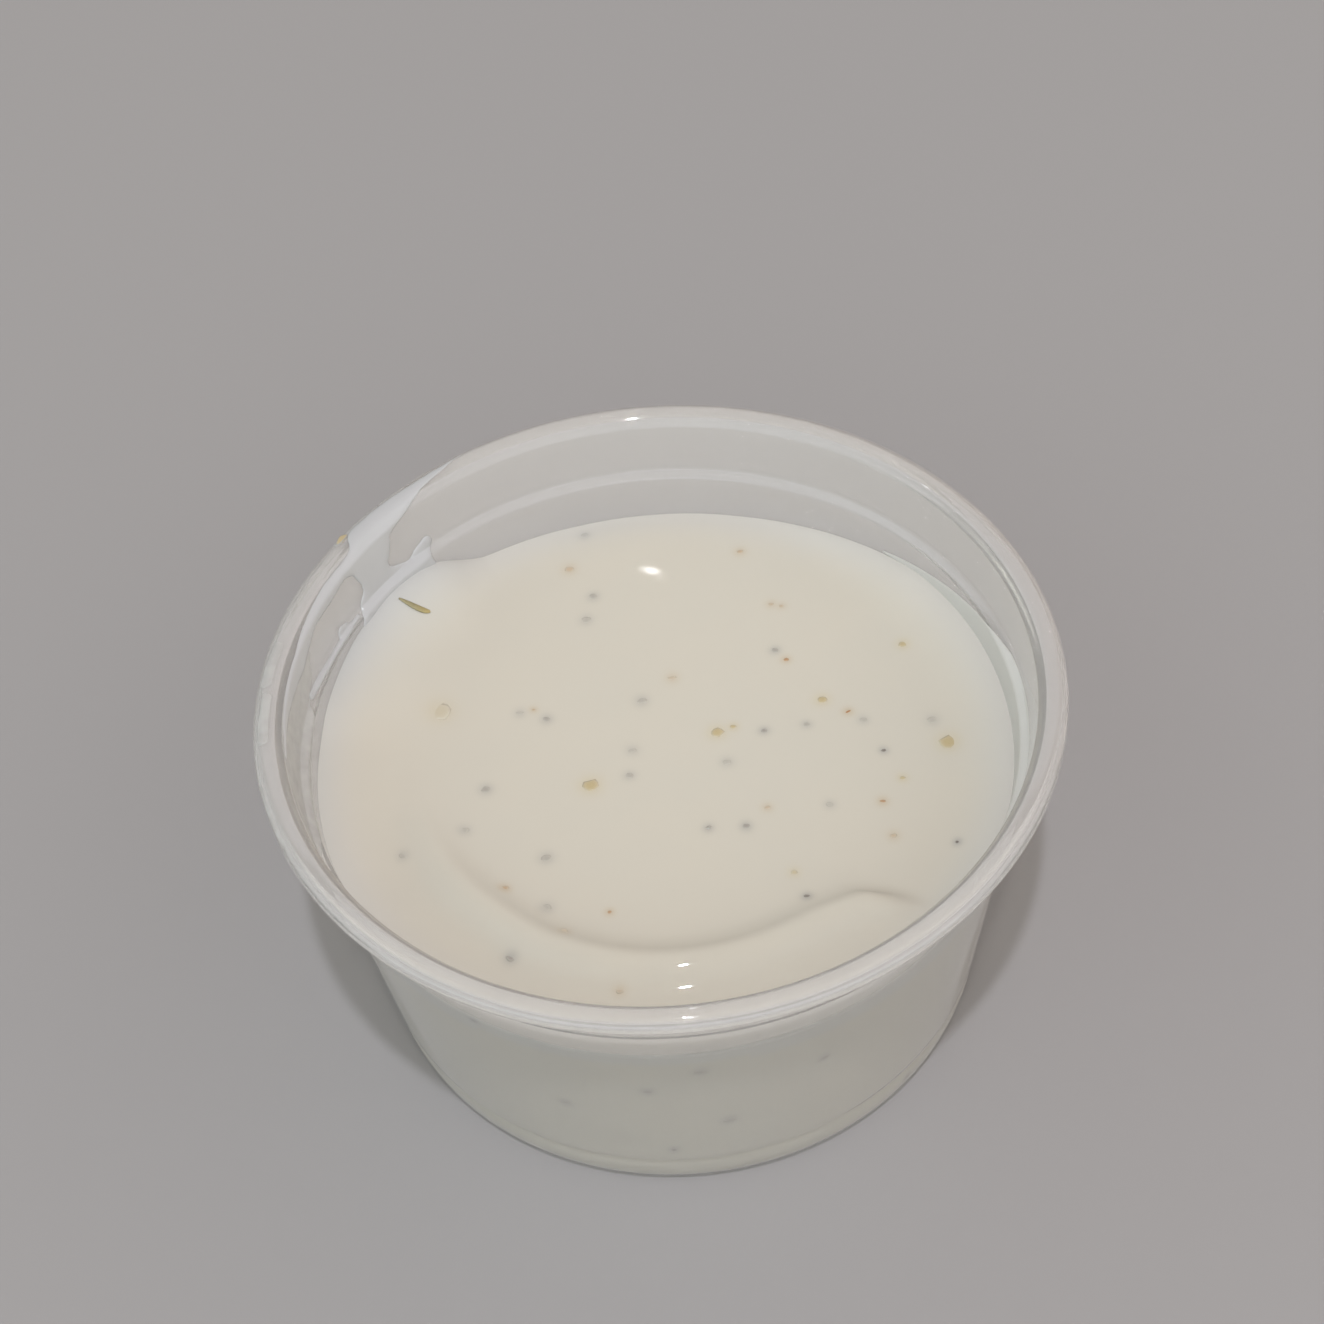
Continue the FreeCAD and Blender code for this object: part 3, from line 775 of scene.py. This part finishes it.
def coat(name, streaks, azimuths, runs, thickness, shoulder, finish):
    """A layer on the cup's inner face where the streaks lie, flowing together as the logarithm
    of summed exponentials. Grid places just outside slide in to the outline, so that it is
    smooth; the layer stands proud by thickness * sqrt(1 - (1 - depth / shoulder) squared) and
    is closed by a back face a little way into the plastic. Runs are mm up the inner face from
    the foot of the ledge, and past the collar's top the layer is thinner by RIM_THINNING."""
    run = np.arange(*runs, SMEAR_STEP)
    azimuth = np.arange(*azimuths, SMEAR_STEP / MM_PER_DEGREE)
    run, azimuth = np.meshgrid(run, azimuth, indexing="ij")
    inside_by = np.array([streak(points, azimuth, run) for points in streaks])
    field = MELT * np.log(np.exp(inside_by / MELT).sum(0))
    place = np.stack([azimuth, run], -1)
    moved = place.copy()
    best = np.zeros_like(field)
    for step in ((0, 1), (0, -1), (1, 0), (-1, 0), (1, 1), (1, -1), (-1, 1), (-1, -1)):
        beside = np.roll(field, step, (0, 1))
        there = np.roll(place, step, (0, 1))
        slide = (field <= 0) & (beside > best)
        share = (beside / np.maximum(beside - field, 1e-9))[..., None]
        moved = np.where(slide[..., None], there + share * (place - there), moved)
        best = np.where(slide, beside, best)
    kept = field > 0
    count, width = field.shape
    number = np.arange(count * width).reshape(count, width)
    cells = np.stack([number[:-1, :-1], number[:-1, 1:], number[1:, 1:], number[1:, :-1]], -1)
    some = kept[:-1, :-1] | kept[:-1, 1:] | kept[1:, 1:] | kept[1:, :-1]
    cells = cells[some]
    used, cells = np.unique(cells, return_inverse=True)
    cells = cells.reshape(-1, 4)
    azimuth, run = moved.reshape(-1, 2)[used].T
    depth = np.clip(field.ravel()[used], 0, None)
    proud = thickness * np.sqrt(1 - (1 - np.clip(depth / shoulder, 0, 1)) ** 2)
    proud *= 1 - RIM_THINNING * np.clip((run - COLLAR_TOP_RUN) / RIM_BLEND, 0, 1)
    along = run_length(inside)
    climbing = (inside[:, 0] > 24.3) & (inside[:, 0] < 28.6) & (inside[:, 1] > FOOT_TOP)
    start = np.interp(LEDGE_HEIGHT, inside[climbing, 1], along[climbing])
    fine = divided(inside, 0.1)
    fine_along = run_length(fine)
    way = np.gradient(fine, fine_along, axis=0)
    way /= np.hypot(*way.T)[:, None]
    face = np.stack([np.interp(run + start, fine_along, fine[:, k]) for k in (0, 1)], 1)
    off = np.stack([np.interp(run + start, fine_along, way[:, k]) for k in (1, 0)], 1) * (-1, 1)
    layers = []
    for lift in (proud, np.full(len(proud), -BITE)):
        radius, height = (face + off * lift[:, None]).T
        layers.append(placed(radius, np.radians(azimuth), height))
    sides = np.stack([cells, np.roll(cells, -1, 1)], -1).reshape(-1, 2)
    pairs, counts = np.unique(np.sort(sides, 1), axis=0, return_counts=True)
    lone = {tuple(pair) for pair in pairs[counts == 1].tolist()}
    outline = [side for side in sides.tolist() if tuple(sorted(side)) in lone]
    back = len(used)
    faces = cells[:, ::-1].tolist() + (cells + back).tolist()
    faces += [[a, b, b + back, a + back] for a, b in outline]
    piece = mesh_piece(name, np.vstack(layers), faces, finish)
    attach(piece, "root")
    return piece


# Streaks as (azimuth, run, half width): the broad one up the collar and over the rim, the
# finger beside it, the apron they rise from, the thin one round the collar, the line on the
# ledge, and a drop.
THICK_STREAKS = [
    [(141.5, -1.5, 1.9), (140.8, 0.5, 1.8), (140.8, 2.5, 1.6), (140.4, 4.2, 2.2)],
    [(140.4, 4.2, 2.2), (139.0, 5.6, 1.9), (135.5, 6.1, 1.4), (131.0, 6.4, 0.95), (127.0, 6.7, 0.45),
     (122.0, 7.0, 0.25), (117.8, 7.5, 0.06)],
    [(133.0, -0.8, 1.3), (131.0, 0.6, 0.9), (129.2, 1.35, 0.6)],
    [(131.0, -0.9, 1.0), (135.5, 0.0, 1.2), (139.5, 0.6, 1.4), (143.5, 0.4, 1.3), (146.5, -0.7, 0.7)],
    [(143.0, 4.9, 1.1), (147.0, 5.3, 0.62), (152.0, 5.15, 0.8), (158.0, 5.1, 0.65), (161.0, 4.8, 0.85),
     (165.0, 4.4, 1.0), (171.0, 4.6, 0.8), (178.0, 4.8, 0.5), (185.0, 4.9, 0.2)],
    [(147.5, 0.6, 0.15), (152.0, 0.5, 0.2), (158.0, 0.5, 0.24), (163.0, 0.7, 0.3), (166.0, 0.9, 0.3)],
    [(150.8, 0.85, 0.42), (151.9, 1.0, 0.48)],
]
# The film round the collar at the left, and dabs along the rim.
THIN_FILM = [
    [(162.5, 3.6, 0.5), (166.0, 3.2, 1.8), (172.0, 2.6, 2.8), (182.0, 2.4, 3.0), (192.0, 2.2, 2.8),
     (199.0, 2.0, 1.4)],
    [(119.5, 7.95, 0.16), (122.0, 7.95, 0.2)],
    [(124.5, 7.9, 0.2), (126.5, 7.85, 0.22)],
    [(129.0, 7.7, 0.35), (132.5, 7.7, 0.3)],
    [(134.5, 7.75, 0.35), (138.0, 7.75, 0.35)],
    [(139.5, 7.7, 0.4), (143.0, 7.5, 0.4)],
    [(165.0, 7.0, 0.4), (172.0, 7.2, 0.5)],
    [(175.0, 6.9, 0.4), (183.0, 7.1, 0.45)],
]
# The wash on the wall at the right, between the dressing and the ledge.
WALL_WASH = [
    [(-48.0, -2.2, 0.3), (-36.0, -1.4, 1.2), (-20.0, -0.9, 1.7), (-4.0, -0.7, 1.8), (8.0, -0.9, 1.7),
     (20.0, -1.4, 1.2), (34.0, -1.9, 0.5), (44.0, -2.3, 0.1)],
]

# The same emulsion, IOR 1.45, lying thin over clear plastic; its colour is painted greyer and
# cooler than the pool's, a painted cool shade for that thin layer.
SMEAR_DRIFT_MM = 2.5
smeared_emulsion, tree, out = material("smeared_emulsion")
place = node(tree, "ShaderNodeTexCoord")
drift = node(
    tree, "ShaderNodeTexNoise", [("Vector", place.outputs["Object"])],
    Scale=1 / (SMEAR_DRIFT_MM * MM),
)
cool = node(tree, "ShaderNodeMix", [("Factor", drift.outputs["Fac"])], data_type="RGBA")
cool.inputs["A"].default_value = linear("#bab8b8")
cool.inputs["B"].default_value = linear("#b5b4b4")
shade = node(
    tree, "ShaderNodeBsdfPrincipled", [("Base Color", cool.outputs["Result"])],
    Roughness=0.12, IOR=1.45,
)
tree.links.new(out.inputs["Surface"], shade.outputs["BSDF"])

# The wash: the emulsion drained to a thin, even and duller coat, its colour painted cooler
# than the pool's as painted cool light.
WASH_DRIFT_MM = 3.0
washed_emulsion, tree, out = material("washed_emulsion")
place = node(tree, "ShaderNodeTexCoord")
drift = node(
    tree, "ShaderNodeTexNoise", [("Vector", place.outputs["Object"])],
    Scale=1 / (WASH_DRIFT_MM * MM),
)
pale = node(tree, "ShaderNodeMix", [("Factor", drift.outputs["Fac"])], data_type="RGBA")
pale.inputs["A"].default_value = linear("#cbc9c3")
pale.inputs["B"].default_value = linear("#c7c3bd")
shade = node(
    tree, "ShaderNodeBsdfPrincipled", [("Base Color", pale.outputs["Result"])],
    Roughness=0.3, IOR=1.45,
)
tree.links.new(out.inputs["Surface"], shade.outputs["BSDF"])

# The film: so thin that half of what is behind it shows through, more in some places.
GAP_MM = 2.5
emulsion_film, tree, out = material("emulsion_film")
place = node(tree, "ShaderNodeTexCoord")
gaps = node(
    tree, "ShaderNodeTexNoise", [("Vector", place.outputs["Object"])], Scale=1 / (GAP_MM * MM),
)
cover = node(
    tree, "ShaderNodeMapRange", [("Value", gaps.outputs["Fac"])],
    From_Min=0.35, From_Max=0.65, To_Min=0.40, To_Max=0.58,
)
shade = node(
    tree, "ShaderNodeBsdfPrincipled", [("Alpha", cover.outputs["Result"])],
    Base_Color=linear("#d0cdc9"), Roughness=0.3, IOR=1.45,
)
tree.links.new(out.inputs["Surface"], shade.outputs["BSDF"])

coat("smear_streaks", THICK_STREAKS, (115, 187), (-2.6, 8.2), 0.16, 0.8, smeared_emulsion)
coat("smear_film", THIN_FILM, (117, 202), (-1.0, 8.3), 0.03, 0.4, emulsion_film)
coat("smear_wash", WALL_WASH, (-50, 46), (-3.2, 1.4), 0.05, 0.8, washed_emulsion)
